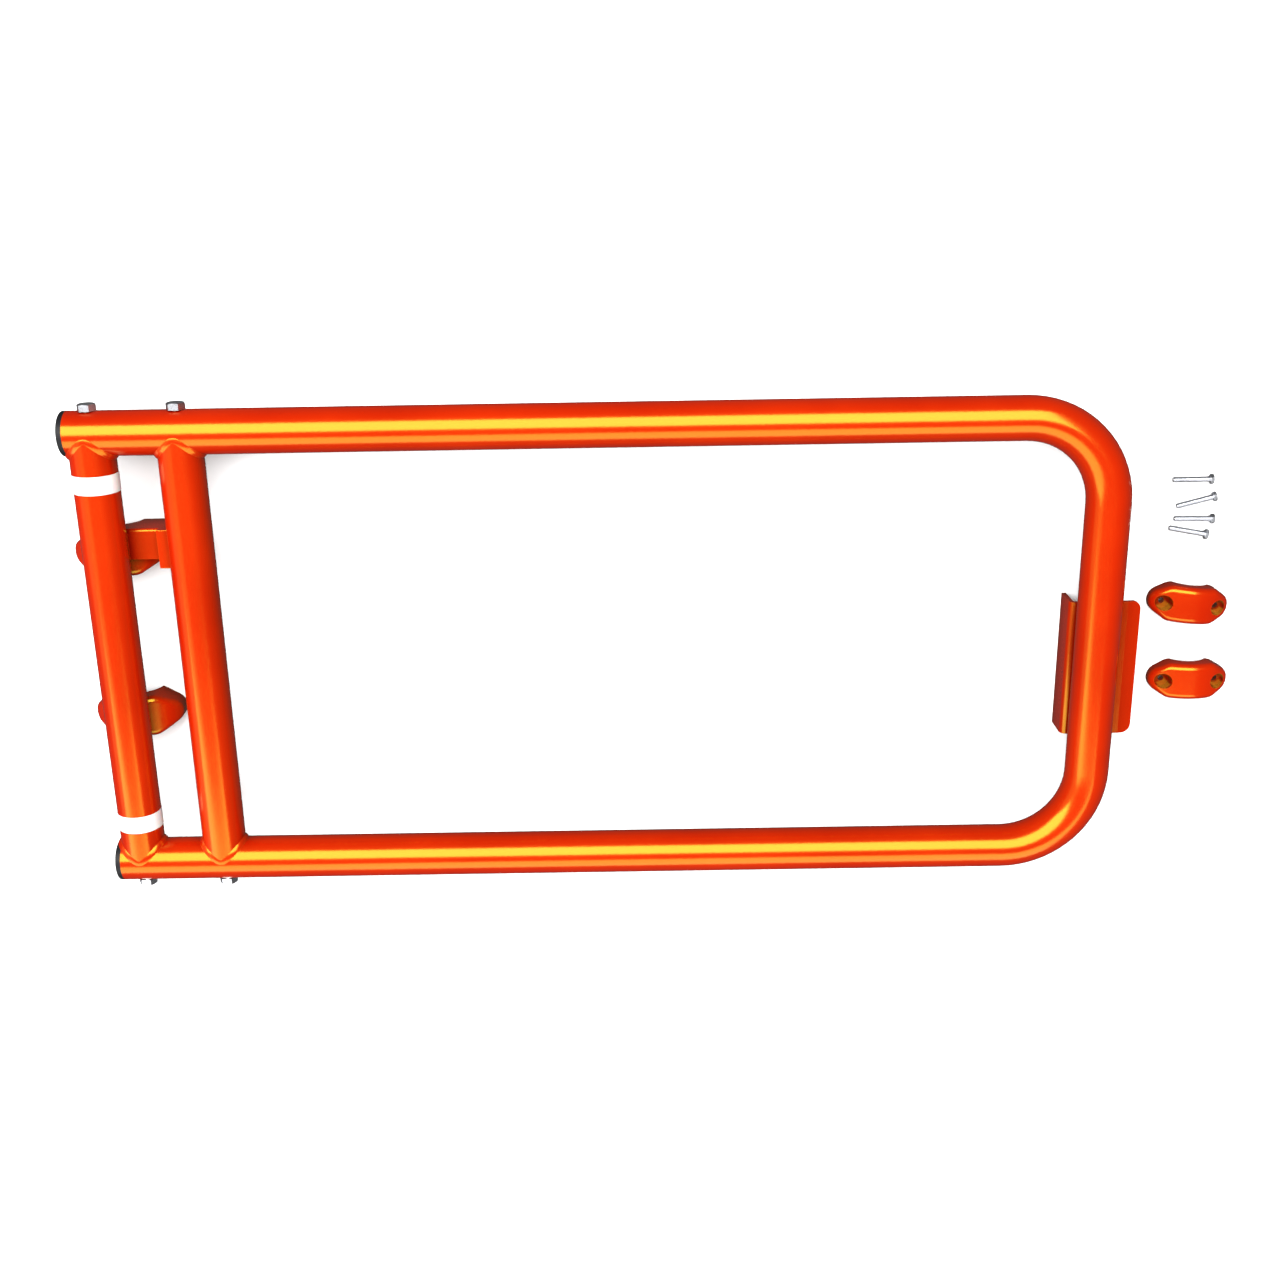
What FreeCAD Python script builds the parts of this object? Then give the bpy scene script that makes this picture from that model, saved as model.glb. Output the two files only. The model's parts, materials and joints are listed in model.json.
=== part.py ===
import FreeCAD, Part
import math
import os
import re
import Sketcher

# Self-closing swing gate leaf with its hinge barrel and loose clamp hardware, lying flat.
# +X runs from the hinge to the latch end, +Y along the hinge axis towards the top rail,
# +Z up, out of the leaf. The origin is on the axis of the round post that the two clamp
# saddles fit, at the leaf's mid-height, and z = 0 is also the floor that everything lies on.
# All lengths are in millimetres and all angles in degrees.

SIZES = [
    ("tube_od", 48.3, "outside diameter of every gate tube"),
    ("tube_wall", 2.9, "wall of every gate tube"),
    ("rail_spacing", 496.6, "top rail to bottom rail, centre to centre"),
    ("leaf_reach", 1080, "hinge axis to the latch end's vertical tube"),
    ("bend_radius", 93.3, "centreline radius of the two loop bends"),
    ("rail_overhang", 22, "open rail ends beyond the hinge axis"),
    ("stile_offset", 93.5, "hinge axis to stile axis"),
    ("axis_height", 62, "hinge axis to post axis"),
    ("barrel_length", 372, "length of the hinge barrel tube"),
    ("band_width", 20, "visible collar of a nylon bushing"),
    ("band_od", 49.3, "outside diameter of that collar"),
    ("band_round", 0.8, "rounding of that collar's rim"),
    ("spigot_length", 25, "part of a bushing inside the barrel"),
    ("hinge_gap", 0.3, "axial clearance between a bushing and its stub"),
    ("weld_gap", 0.05, "fit-up gap at inserted welded joints"),
    ("cope_gap", 0.3, "fit-up gap where a tube end is coped round a tube"),
    ("spindle_od", 20, "diameter of the pivot spindle"),
    ("running_gap", 0.05, "radial clearance of the spindle in its bushings"),
    ("plug_thickness", 8, "disc plug in a hinge stub"),
    ("stile_plug_length", 14, "tapped plug in the stile"),
    ("stile_plug_inset", 26.5, "rail axis to the outer face of a stile plug"),
    ("rail_bolt_dia", 12, "M12 bolts through the rails"),
    ("rail_bolt_hole", 12.6, "clearance hole for an M12 bolt"),
    ("rail_bolt_flats", 18, "across flats of an M12 head"),
    ("rail_bolt_head", 7.5, "height of an M12 head"),
    ("pivot_bolt_length", 90, "under-head length of a pivot bolt"),
    ("stile_bolt_length", 70, "under-head length of a stile bolt"),
    ("thread_gap", 0.05, "diametral gap between a bolt and its tapped hole"),
    ("tapped_depth", 32, "depth of the tapped hole in each spindle end"),
    ("trough_dia", 48.5, "inside diameter of the clamp halves"),
    ("saddle_upper_y", 108, "centre of the upper saddle"),
    ("saddle_lower_y", -82, "centre of the lower saddle"),
    ("saddle_length", 100, "saddle across the post"),
    ("saddle_width", 48, "saddle along the post"),
    ("saddle_crown", 44, "height of a saddle's dome before it meets the barrel"),
    ("saddle_ear", 16, "height of a saddle at its two ends"),
    ("cap_length", 90, "loose clamp cap across the post"),
    ("cap_width", 42, "loose clamp cap along the post"),
    ("cap_crown", 27, "height of a cap's dome"),
    ("cap_ear", 9, "height of a cap at its two ends"),
    ("cap_gap", 14, "opening left between a cap and its saddle when they grip the post"),
    ("rim_round", 7, "rounding of the rim of a cap or saddle"),
    ("nose_width", 18, "width of a cap or saddle at its two ends, before rounding"),
    ("nose_taper", 1.73, "length over which each slanted side narrows by one"),
    ("nose_round", 15, "rounding of the corners of that outline"),
    ("clamp_bolt_spacing", 61, "distance between the two clamp bolts"),
    ("clamp_bolt_dia", 6, "M6 clamp bolts"),
    ("clamp_bolt_hole", 6.6, "clearance hole for an M6 bolt"),
    ("clamp_bolt_flats", 10, "across flats of an M6 head"),
    ("clamp_bolt_head", 4, "height of an M6 head"),
    ("clamp_bolt_length", 40, "under-head length of a clamp bolt"),
    ("pocket_dia", 18, "counterbore for an M6 head in a cap"),
    ("pocket_floor", 8, "height of the counterbore's floor"),
    ("saddle_tap_depth", 18, "depth of a tapped hole in a saddle"),
    ("stop_thickness", 8, "plate of the stop bracket"),
    ("stop_reach", 66, "right end of the stop bracket"),
    ("stop_low_y", 106, "lower edge of the bracket's front web"),
    ("stop_bend", 3, "rounding of the bracket's bend"),
    ("stop_face", 48, "height of the bracket's stopping face"),
    ("stop_lift", 2, "lower edge of the bracket's flange above the floor"),
    ("post_clearance", 52.6, "diameter kept free round the post"),
    ("lug_left", 57, "left side of the stop lug"),
    ("lug_low_y", 99, "lower end of the stop lug"),
    ("lug_high_y", 142, "upper end of the stop lug"),
    ("lug_gap", 0.3, "lug to stop bracket when closed"),
    ("strike_left", 1054, "outer face of the strike plate's flange"),
    ("strike_width", 80, "strike plate across"),
    ("strike_low_y", -121, "lower end of the strike plate"),
    ("strike_high_y", 36, "upper end of the strike plate"),
    ("strike_thickness", 5, "plate of the strike plate"),
    ("strike_lip", 15, "bent-back lip along the right edge"),
    ("strike_lip_drop", 3.2, "how far the lip's edge is bent back"),
    ("strike_corner", 10, "rounding of the right-hand corners"),
    ("end_cap_head", 6, "thickness of an end cap's head"),
    ("end_cap_round", 1.6, "rounding of that head"),
    ("end_cap_spigot", 14, "part of an end cap inside the rail"),
    ("wire_dia", 4.5, "torsion spring wire"),
    ("coil_dia", 30, "mean diameter of the spring"),
    ("coil_pitch", 6, "rise of one turn of the spring"),
    ("coil_turns", 16, "number of turns"),
    ("coil_start", -52, "first turn of the spring"),
    ("collar_thickness", 12, "spring anchor and spring driver"),
    ("collar_gap", 6, "axial space between the coil and each collar"),
    ("driver_od", 36, "diameter of the spring driver"),
    ("pin_dia", 5, "driver cross pin"),
    ("pin_length", 32, "length of that pin"),
    ("screw_dia", 6, "grub screw that holds the anchor"),
    ("screw_length", 11, "length of that screw"),
    ("screw_seat", 9.1, "depth of its tapped seat in the anchor"),
    ("screw_sink", 0.2, "end of that screw below the barrel's surface"),
]

# Lengths that follow from the sheet, as formulas of its aliases.
TUBE_R = "(tube_od / 2)"
INSERT_R = "(tube_od / 2 - tube_wall - weld_gap)"
RAIL_Y = "(rail_spacing / 2)"
BARREL_END = "(barrel_length / 2)"
STUB_FACE = "(barrel_length / 2 + band_width + hinge_gap)"
UNDER_HEAD = "(rail_spacing / 2 + tube_od / 2)"
TAPPED_DIA = "(rail_bolt_dia + thread_gap)"
COIL_END = "(coil_start + coil_pitch * coil_turns)"
ANCHOR_Y = "(coil_start - collar_gap - collar_thickness / 2)"
DRIVER_Y = "(coil_start + coil_pitch * coil_turns + collar_gap + collar_thickness / 2)"
STRIKE_FACE = "(axis_height - tube_od / 2)"

# Where the loose clamp hardware lies on the floor: the centre of each cap or the tip of each
# bolt, then the angle from +X of the cap's length or of the bolt towards its head.
CAP_SPOTS = [(1195.4, 24.5, -6.2), (1203.4, -66.2, -0.7)]
BOLT_SPOTS = [
    (1167.1, 165.4, 1.0),
    (1174.0, 135.2, 15.4),
    (1172.4, 121.2, -0.2),
    (1167.8, 110.8, -10.3),
]

# Lowest height at which an edge of a clamp block counts as part of its rim.
RIM_FROM = 2.0

VECTOR = FreeCAD.Vector
X_AXIS = VECTOR(1, 0, 0)
Y_AXIS = VECTOR(0, 1, 0)
Z_AXIS = VECTOR(0, 0, 1)
UPPER = 1
LOWER = -1
SIDES = (("upper", UPPER), ("lower", LOWER))
ALONG_SIDE = {UPPER: FreeCAD.Rotation(X_AXIS, -90), LOWER: FreeCAD.Rotation(X_AXIS, 90)}

DOC = FreeCAD.newDocument("swing_gate")
NODES = {}


def make_sheet():
    """Write every driving size to the sheet and give its cell an alias."""
    sheet = DOC.addObject("Spreadsheet::Sheet", "Sizes")
    for row, (alias, number, meaning) in enumerate(SIZES, start=1):
        sheet.set(f"A{row}", meaning)
        sheet.set(f"B{row}", str(number))
        sheet.setAlias(f"B{row}", alias)
    DOC.recompute()
    return sheet


SHEET = make_sheet()
ALIAS = re.compile(r"\b(" + "|".join(alias for alias, _, _ in SIZES) + r")\b")


def bind(thing, path, formula):
    """Drive one property of an object from a formula of the sheet's aliases."""
    thing.setExpression(path, ALIAS.sub(r"Sizes.\1", str(formula)))


def place(thing, x=0, y=0, z="axis_height", turn=None):
    """Put an object at a bound position, with a fixed rotation."""
    thing.Placement = FreeCAD.Placement(VECTOR(0, 0, 0), turn or FreeCAD.Rotation())
    for letter, formula in (("x", x), ("y", y), ("z", z)):
        bind(thing, f"Placement.Base.{letter}", formula)
    return thing


def node(name, thing):
    """Register an object as the finished sub-part of that name."""
    thing.Label = name
    NODES[name] = thing
    return thing


def solid(kind, label, **formulas):
    """A Part primitive whose sizes are bound."""
    thing = DOC.addObject(f"Part::{kind}", label)
    for name, formula in formulas.items():
        bind(thing, name, formula)
    return thing


def join(kind, label, base, tool):
    """Part::Cut, Part::Fuse or Part::Common of two objects."""
    result = DOC.addObject(f"Part::{kind}", label)
    result.Base = base
    result.Tool = tool
    return result


def cut(label, base, *tools):
    """Take each tool away from the base in turn."""
    result = base
    for number, tool in enumerate(tools, start=1):
        result = join("Cut", f"{label}_cut_{number}", result, tool)
    return result


def fuse(label, base, *others):
    """Join solids into one, one after another."""
    result = base
    for number, other in enumerate(others, start=1):
        result = join("Fuse", f"{label}_fuse_{number}", result, other)
    return result


# ---- PartDesign helpers ----

def new_body(label):
    """An empty PartDesign body."""
    return DOC.addObject("PartDesign::Body", label)


def new_sketch(body, plane, name, shift=None):
    """A sketch on one of the body's own origin planes, moved along its normal by shift."""
    sketch = body.newObject("Sketcher::SketchObject", name)
    support = next(item for item in body.Origin.OriginFeatures if item.Role == plane)
    sketch.AttachmentSupport = [(support, "")]
    sketch.MapMode = "FlatFace"
    if shift is not None:
        bind(sketch, "AttachmentOffset.Base.z", shift)
    return sketch


def bound_constraint(sketch, *parts, formula, start=1.0):
    """Add one constraint with a value and drive that value from the sheet."""
    index = sketch.addConstraint(Sketcher.Constraint(*parts, start))
    bind(sketch, f"Constraints[{index}]", formula)


def draw_circle(sketch, diameter, across=None, up=None):
    """A circle with a bound diameter and, off the origin, a bound centre."""
    curve = sketch.addGeometry(Part.Circle(VECTOR(0, 0, 0), Z_AXIS, 5), False)
    if across is None and up is None:
        sketch.addConstraint(Sketcher.Constraint("Coincident", curve, 3, -1, 1))
    else:
        bound_constraint(sketch, "DistanceX", -1, 1, curve, 3, formula=across or 0)
        bound_constraint(sketch, "DistanceY", -1, 1, curve, 3, formula=up or 0)
    bound_constraint(sketch, "Diameter", curve, formula=diameter, start=10.0)


def draw_outline(sketch, corners):
    """A closed polygon; each corner is a pair of formulas."""
    count = len(corners)
    ring = []
    for number in range(count):
        angle = 2 * math.pi * number / count
        ring.append(VECTOR(20 * math.cos(angle), 20 * math.sin(angle), 0))
    for number in range(count):
        sketch.addGeometry(Part.LineSegment(ring[number], ring[(number + 1) % count]), False)
    for number in range(count):
        sketch.addConstraint(Sketcher.Constraint("Coincident", number, 2, (number + 1) % count, 1))
    for number, (across, up) in enumerate(corners):
        bound_constraint(sketch, "DistanceX", -1, 1, number, 1, formula=across)
        bound_constraint(sketch, "DistanceY", -1, 1, number, 1, formula=up)


def pad(body, sketch, length, side="One side", backwards=False):
    """Pad a sketch by a bound length."""
    feature = body.newObject("PartDesign::Pad", f"{body.Name}_pad")
    feature.Profile = sketch
    feature.SideType = side
    feature.Reversed = backwards
    bind(feature, "Length", length)
    DOC.recompute()
    return feature


def pocket(body, sketch, length=None, side="Symmetric", backwards=False):
    """Pocket a sketch, through everything unless a length is given, and see that it cuts."""
    before = body.Shape.Volume
    feature = body.newObject("PartDesign::Pocket", f"{body.Name}_pocket")
    feature.Profile = sketch
    feature.SideType = side
    feature.Reversed = backwards
    if length is None:
        feature.Type = "ThroughAll"
    else:
        bind(feature, "Length", length)
    DOC.recompute()
    if not body.Shape.Volume < before - 1:
        raise RuntimeError(f"{body.Label}: a pocket cuts nothing")
    return feature


def edge_names(shape, wanted):
    """Names of the shape's edges for which the test is true."""
    return [f"Edge{number}" for number, edge in enumerate(shape.Edges, start=1) if wanted(edge)]


def fillet(body, radius, wanted):
    """Round the edges of the body's tip that pass the test."""
    base = body.Tip
    names = edge_names(base.Shape, wanted)
    if not names:
        raise RuntimeError(f"{body.Label}: no edge to round")
    feature = body.newObject("PartDesign::Fillet", f"{body.Name}_fillet")
    feature.Base = (base, names)
    bind(feature, "Radius", radius)
    DOC.recompute()
    return feature


def tube_body(label, outer, inner, length, side="Symmetric"):
    """A plain round tube or disc along Y, made of one pad."""
    body = new_body(label)
    ring = new_sketch(body, "XZ_Plane", f"{label}_ring")
    draw_circle(ring, outer)
    draw_circle(ring, inner)
    pad(body, ring, length, side, backwards=(side == "One side"))
    return body


def cross_hole(body, diameter, across="0", up="0"):
    """Drill right through a body along Z at a bound place."""
    circle = new_sketch(body, "XY_Plane", f"{body.Name}_cross_hole")
    draw_circle(circle, diameter, across, up)
    return pocket(body, circle)


def hex_bolt(label, diameter, length, flats, head):
    """A hexagon bolt on its own axis: head on +Z, shank on -Z, under-head face at z = 0."""
    prism = solid("Prism", f"{label}_hexagon", Circumradius=f"{flats} / sqrt(3)", Height=head)
    prism.Polygon = 6
    chamfer = solid("Cone", f"{label}_chamfer", Radius2=f"{flats} * 0.475",
                    Radius1=f"{flats} * 0.475 + {head} * sqrt(3)", Height=head)
    heads = join("Common", f"{label}_head", prism, chamfer)
    tip = f"({diameter} * 0.1)"
    shank = solid("Cylinder", f"{label}_shank", Radius=f"{diameter} / 2", Height=f"{length} - {tip}")
    place(shank, z=f"-({length} - {tip})")
    point = solid("Cone", f"{label}_tip", Radius1=f"{diameter} / 2 - {tip}", Radius2=f"{diameter} / 2",
                  Height=tip)
    place(point, z=f"-{length}")
    return fuse(label, heads, shank, point)


# ---- the leaf ----

def make_loop_tube():
    """One tube bent into a hairpin: top rail, latch upright and bottom rail."""
    body = new_body("loop_tube")
    reach, rail, bend = SHEET.leaf_reach, SHEET.rail_spacing / 2, SHEET.bend_radius
    left, corner = -SHEET.rail_overhang, reach - bend
    spine = new_sketch(body, "XY_Plane", "loop_spine")
    spine.addGeometry([
        Part.LineSegment(VECTOR(left, rail, 0), VECTOR(corner, rail, 0)),
        Part.ArcOfCircle(Part.Circle(VECTOR(corner, rail - bend, 0), Z_AXIS, bend), 0, math.pi / 2),
        Part.LineSegment(VECTOR(reach, rail - bend, 0), VECTOR(reach, bend - rail, 0)),
        Part.ArcOfCircle(Part.Circle(VECTOR(corner, bend - rail, 0), Z_AXIS, bend), -math.pi / 2, 0),
        Part.LineSegment(VECTOR(corner, -rail, 0), VECTOR(left, -rail, 0)),
    ], False)
    tangents = ((0, 2, 1, 2), (1, 1, 2, 1), (2, 2, 3, 2), (3, 1, 4, 1))
    for first, first_end, second, second_end in tangents:
        spine.addConstraint(Sketcher.Constraint("Tangent", first, first_end, second, second_end))
    spine.addConstraint([Sketcher.Constraint("Horizontal", 0), Sketcher.Constraint("Horizontal", 4)])
    bound_constraint(spine, "DistanceX", -1, 1, 0, 1, formula="-rail_overhang", start=left)
    bound_constraint(spine, "DistanceX", -1, 1, 4, 2, formula="-rail_overhang", start=left)
    bound_constraint(spine, "DistanceY", -1, 1, 0, 1, formula=RAIL_Y, start=rail)
    bound_constraint(spine, "DistanceY", -1, 1, 4, 2, formula=f"-{RAIL_Y}", start=-rail)
    bound_constraint(spine, "DistanceX", -1, 1, 2, 1, formula="leaf_reach", start=reach)
    bound_constraint(spine, "Radius", 1, formula="bend_radius", start=bend)
    bound_constraint(spine, "Radius", 3, formula="bend_radius", start=bend)
    ring = new_sketch(body, "YZ_Plane", "loop_ring", shift="-rail_overhang")
    draw_circle(ring, "tube_od", RAIL_Y, "0")
    draw_circle(ring, "tube_od - 2 * tube_wall", RAIL_Y, "0")
    DOC.recompute()
    pipe = body.newObject("PartDesign::AdditivePipe", "loop_pipe")
    pipe.Profile = ring
    pipe.Spine = (spine, [f"Edge{number}" for number in range(1, 6)])
    DOC.recompute()
    for name, across in (("pivot", "0"), ("stile", "stile_offset")):
        hole = new_sketch(body, "XZ_Plane", f"{name}_bolt_hole")
        draw_circle(hole, "rail_bolt_hole", across, "0")
        pocket(body, hole)
    node("loop_tube", place(body))


def rail_cope(label, side):
    """The cylinder that copes a tube end to fit round a rail."""
    tool = solid("Cylinder", label, Radius=f"{TUBE_R} + cope_gap", Height="4 * tube_od")
    turn = FreeCAD.Rotation(Y_AXIS, 90)
    return place(tool, x="-2 * tube_od + stile_offset / 2", y=f"{side} * {RAIL_Y}", turn=turn)


def make_stile():
    """Upright tube coped to both rails, with a tapped plug welded inside each end."""
    blank = tube_body("stile_blank", "tube_od", "tube_od - 2 * tube_wall", "rail_spacing")
    place(blank, x="stile_offset")
    copes = [rail_cope(f"stile_cope_{name}", side) for name, side in SIDES]
    node("stile_tube", cut("stile", blank, *copes))
    for name, side in SIDES:
        plug = tube_body(f"stile_plug_{name}_disc", f"2 * {INSERT_R}", TAPPED_DIA, "stile_plug_length")
        middle = f"{side} * ({RAIL_Y} - stile_plug_inset - stile_plug_length / 2)"
        node(f"stile_plug_{name}", place(plug, x="stile_offset", y=middle))


def make_hinge_stubs():
    """Short coped tubes between each rail and the barrel, closed by a drilled disc."""
    for name, side in SIDES:
        length = f"({RAIL_Y} - {STUB_FACE})"
        blank = tube_body(f"stub_blank_{name}", "tube_od", "tube_od - 2 * tube_wall", length)
        place(blank, y=f"{side} * ({STUB_FACE} + {length} / 2)")
        stub = cut(f"stub_{name}", blank, rail_cope(f"stub_cope_{name}", side))
        node(f"hinge_stub_{name}", stub)
        disc = tube_body(f"stub_disc_{name}", f"2 * {INSERT_R}", "rail_bolt_hole", "plug_thickness")
        node(f"stub_plug_{name}", place(disc, y=f"{side} * ({STUB_FACE} + plug_thickness / 2)"))


def make_rail_bolts():
    """Pivot bolts on the hinge axis and stile bolts beside them, heads outside the rails."""
    for name, side in SIDES:
        for role, across in (("pivot", "0"), ("stile", "stile_offset")):
            bolt = hex_bolt(f"{role}_bolt_{name}", "rail_bolt_dia", f"{role}_bolt_length",
                            "rail_bolt_flats", "rail_bolt_head")
            place(bolt, x=across, y=f"{side} * {UNDER_HEAD}", turn=ALONG_SIDE[side])
            node(f"{role}_bolt_{name}", bolt)


def make_end_caps():
    """Plastic plugs in the two open rail ends."""
    for name, side in SIDES:
        body = new_body(f"end_cap_{name}")
        head = new_sketch(body, "XY_Plane", f"end_cap_head_{name}")
        draw_circle(head, "tube_od")
        pad(body, head, "end_cap_head")
        top = SHEET.end_cap_head
        fillet(body, "end_cap_round", lambda edge: edge.CenterOfMass.z > top - 0.01)
        spigot = new_sketch(body, "XY_Plane", f"end_cap_spigot_{name}")
        draw_circle(spigot, f"2 * {INSERT_R} - 0.1")
        pad(body, spigot, "end_cap_spigot", backwards=True)
        place(body, x="-rail_overhang", y=f"{side} * {RAIL_Y}", turn=FreeCAD.Rotation(Y_AXIS, -90))
        node(f"end_cap_{name}", body)


def make_stop_lug():
    """Block welded on the stile that comes down on the stop bracket."""
    foot = "(stop_face + lug_gap)"
    block = solid("Box", "lug_block", Length="stile_offset - lug_left", Width="lug_high_y - lug_low_y",
                  Height=f"axis_height - {foot}")
    place(block, x="lug_left", y="lug_low_y", z=foot)
    stile = solid("Cylinder", "lug_cope", Radius=f"{TUBE_R} + weld_gap", Height="rail_spacing")
    place(stile, x="stile_offset", y=RAIL_Y, turn=FreeCAD.Rotation(X_AXIS, 90))
    node("stop_lug", cut("lug", block, stile))


def make_strike_plate():
    """Bent plate behind the latch upright: flange on the left, bent-back lip on the right."""
    body = new_body("strike_plate")
    profile = new_sketch(body, "XZ_Plane", "strike_profile")
    back = "strike_thickness"
    right = "(strike_left + strike_width)"
    lip = f"({right} - strike_lip)"
    draw_outline(profile, [
        ("strike_left", "0"),
        (f"strike_left + {back}", "0"),
        (f"strike_left + {back}", f"{STRIKE_FACE} - {back}"),
        (lip, f"{STRIKE_FACE} - {back}"),
        (right, f"{STRIKE_FACE} - {back} - strike_lip_drop"),
        (right, f"{STRIKE_FACE} - strike_lip_drop"),
        (lip, STRIKE_FACE),
        ("strike_left", STRIKE_FACE),
    ])
    pad(body, profile, "strike_high_y - strike_low_y", backwards=True)
    left, face = SHEET.strike_left, SHEET.axis_height - SHEET.tube_od / 2

    def long_edge_at(across, height):
        return lambda edge: (abs(edge.CenterOfMass.x - across) < 0.01
                             and abs(edge.CenterOfMass.z - height) < 0.01)

    fillet(body, "strike_thickness * 1.4", long_edge_at(left, face))
    inside = (left + SHEET.strike_thickness, face - SHEET.strike_thickness)
    fillet(body, "strike_thickness * 0.4", long_edge_at(*inside))
    edge_x = left + SHEET.strike_width
    fillet(body, "strike_corner", lambda edge: (abs(edge.CenterOfMass.x - edge_x) < 0.01
                                                and edge.Length < SHEET.strike_thickness * 1.01))
    node("strike_plate", place(body, y="strike_low_y", z="0"))


def make_spindle():
    """Round bar that turns with the leaf, tapped at both ends and cross-drilled for the driver."""
    body = new_body("pivot_spindle")
    bar = new_sketch(body, "XZ_Plane", "spindle_bar")
    draw_circle(bar, "spindle_od")
    pad(body, bar, f"2 * {STUB_FACE}", "Symmetric")
    for name, side in SIDES:
        hole = new_sketch(body, "XZ_Plane", f"spindle_hole_{name}", shift=f"-{side} * {STUB_FACE}")
        draw_circle(hole, TAPPED_DIA)
        pocket(body, hole, "tapped_depth", "One side", backwards=(side == UPPER))
    cross_hole(body, "pin_dia + thread_gap", "0", DRIVER_Y)
    node("pivot_spindle", place(body))


def make_spring_driver():
    """Collar pinned to the spindle, which winds the spring as the leaf opens."""
    body = tube_body("spring_driver", "driver_od", "spindle_od + thread_gap", "collar_thickness")
    cross_hole(body, "pin_dia + thread_gap")
    node("spring_driver", place(body, y=DRIVER_Y))
    pin = solid("Cylinder", "driver_pin", Radius="pin_dia / 2", Height="pin_length")
    node("driver_pin", place(pin, y=DRIVER_Y, z="axis_height - pin_length / 2"))


# ---- the fixed hinge side ----

def make_barrel():
    """Barrel tube with the grub screw that holds the spring anchor inside it."""
    body = tube_body("barrel_tube", "tube_od", "tube_od - 2 * tube_wall", "barrel_length")
    hole = new_sketch(body, "XY_Plane", "anchor_screw_hole")
    draw_circle(hole, "screw_dia + thread_gap", "0", ANCHOR_Y)
    pocket(body, hole, TUBE_R, "One side", backwards=False)
    node("barrel_tube", place(body))
    anchor = tube_body("spring_anchor", f"2 * {INSERT_R}", "spindle_od + 1", "collar_thickness")
    leg = new_sketch(anchor, "XZ_Plane", "anchor_leg_hole")
    draw_circle(leg, "wire_dia + 0.2", "coil_dia / 2", "0")
    pocket(anchor, leg)
    seat = new_sketch(anchor, "XY_Plane", "anchor_screw_seat", shift=f"-{INSERT_R}")
    draw_circle(seat, "screw_dia + thread_gap")
    pocket(anchor, seat, "screw_seat", "One side", backwards=True)
    node("spring_anchor", place(anchor, y=ANCHOR_Y))
    screw = solid("Cylinder", "anchor_screw", Radius="screw_dia / 2", Height="screw_length")
    node("anchor_screw", place(screw, y=ANCHOR_Y, z=f"axis_height - {TUBE_R} + screw_sink"))


def make_bushings():
    """Flanged nylon bushings; the flange is the white band at each end of the barrel."""
    bore = "spindle_od + 2 * running_gap"
    for name, side in SIDES:
        body = new_body(f"bushing_{name}")
        band = new_sketch(body, "XZ_Plane", f"bushing_band_{name}")
        draw_circle(band, "band_od")
        draw_circle(band, bore)
        pad(body, band, "band_width", backwards=True)
        rim = SHEET.band_od / 2
        fillet(body, "band_round", lambda edge: edge.Length > 6 * rim)
        spigot = new_sketch(body, "XZ_Plane", f"bushing_spigot_{name}")
        draw_circle(spigot, f"2 * {INSERT_R}")
        draw_circle(spigot, bore)
        pad(body, spigot, "spigot_length")
        turn = FreeCAD.Rotation(X_AXIS, 0 if side == UPPER else 180)
        node(f"bushing_{name}", place(body, y=f"{side} * {BARREL_END}", turn=turn))


def make_torsion_spring():
    """Coil round the spindle; one straight leg sits in the anchor, the other faces the driver."""
    body = new_body("spring_coil")
    section = new_sketch(body, "XY_Plane", "spring_section")
    draw_circle(section, "wire_dia", "coil_dia / 2", "0")
    DOC.recompute()
    coil = body.newObject("PartDesign::AdditiveHelix", "spring_helix")
    coil.Profile = section
    coil.ReferenceAxis = (section, ["V_Axis"])
    coil.Mode = "pitch-turns-angle"
    bind(coil, "Pitch", "coil_pitch")
    bind(coil, "Turns", "coil_turns")
    DOC.recompute()
    place(body, y="coil_start")
    legs = []
    start_leg = "(collar_gap + collar_thickness - 1)"
    end_leg = "(collar_gap - 1)"
    ends = (("fixed", start_leg, f"coil_start - {start_leg}"), ("driven", end_leg, COIL_END))
    for name, length, foot in ends:
        leg = solid("Cylinder", f"spring_leg_{name}", Radius="wire_dia / 2", Height=length)
        legs.append(place(leg, x="coil_dia / 2", y=foot, turn=FreeCAD.Rotation(X_AXIS, -90)))
    node("torsion_spring", fuse("spring", body, *legs))


def dome_formulas(length, crown, ear):
    """Radius and axis height of the cylinder that domes a block, as formulas."""
    rise = f"({crown} - {ear})"
    radius = f"(({length} * {length} / 4 + {rise} * {rise}) / (2 * {rise}))"
    return radius, f"({crown} - {radius})"


def domed_block(label, length, width, crown, ear):
    """Block with a tapered, rounded outline, a cylindrical dome and a rounded rim, on z = 0."""
    body = new_body(f"{label}_plan")
    plan = new_sketch(body, "XY_Plane", f"{label}_outline")
    end, side, nose = f"({length} / 2)", f"({width} / 2)", "(nose_width / 2)"
    shoulder = f"({end} - nose_taper * ({side} - {nose}))"
    draw_outline(plan, [
        (end, nose), (shoulder, side), (f"-{shoulder}", side), (f"-{end}", nose),
        (f"-{end}", f"-{nose}"), (f"-{shoulder}", f"-{side}"), (shoulder, f"-{side}"), (end, f"-{nose}"),
    ])
    pad(body, plan, crown)
    fillet(body, "nose_round", is_upright)
    radius, axis = dome_formulas(length, crown, ear)
    dome = solid("Cylinder", f"{label}_dome", Radius=radius, Height=length)
    place(dome, y=f"{length} / 2", z=axis, turn=FreeCAD.Rotation(X_AXIS, 90))
    block = join("Common", f"{label}_block", body, dome)
    DOC.recompute()
    rounded = DOC.addObject("Part::Fillet", f"{label}_rounded")
    rounded.Base = block
    rim = edge_names(block.Shape, lambda edge: edge.BoundBox.ZMin > RIM_FROM and not is_upright(edge))
    rounded.Edges = [(int(name[4:]), SHEET.rim_round, SHEET.rim_round) for name in rim]
    DOC.recompute()
    return rounded


def is_upright(edge):
    """True for a straight edge along Z."""
    box = edge.BoundBox
    return box.XLength < 0.001 and box.YLength < 0.001


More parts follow.
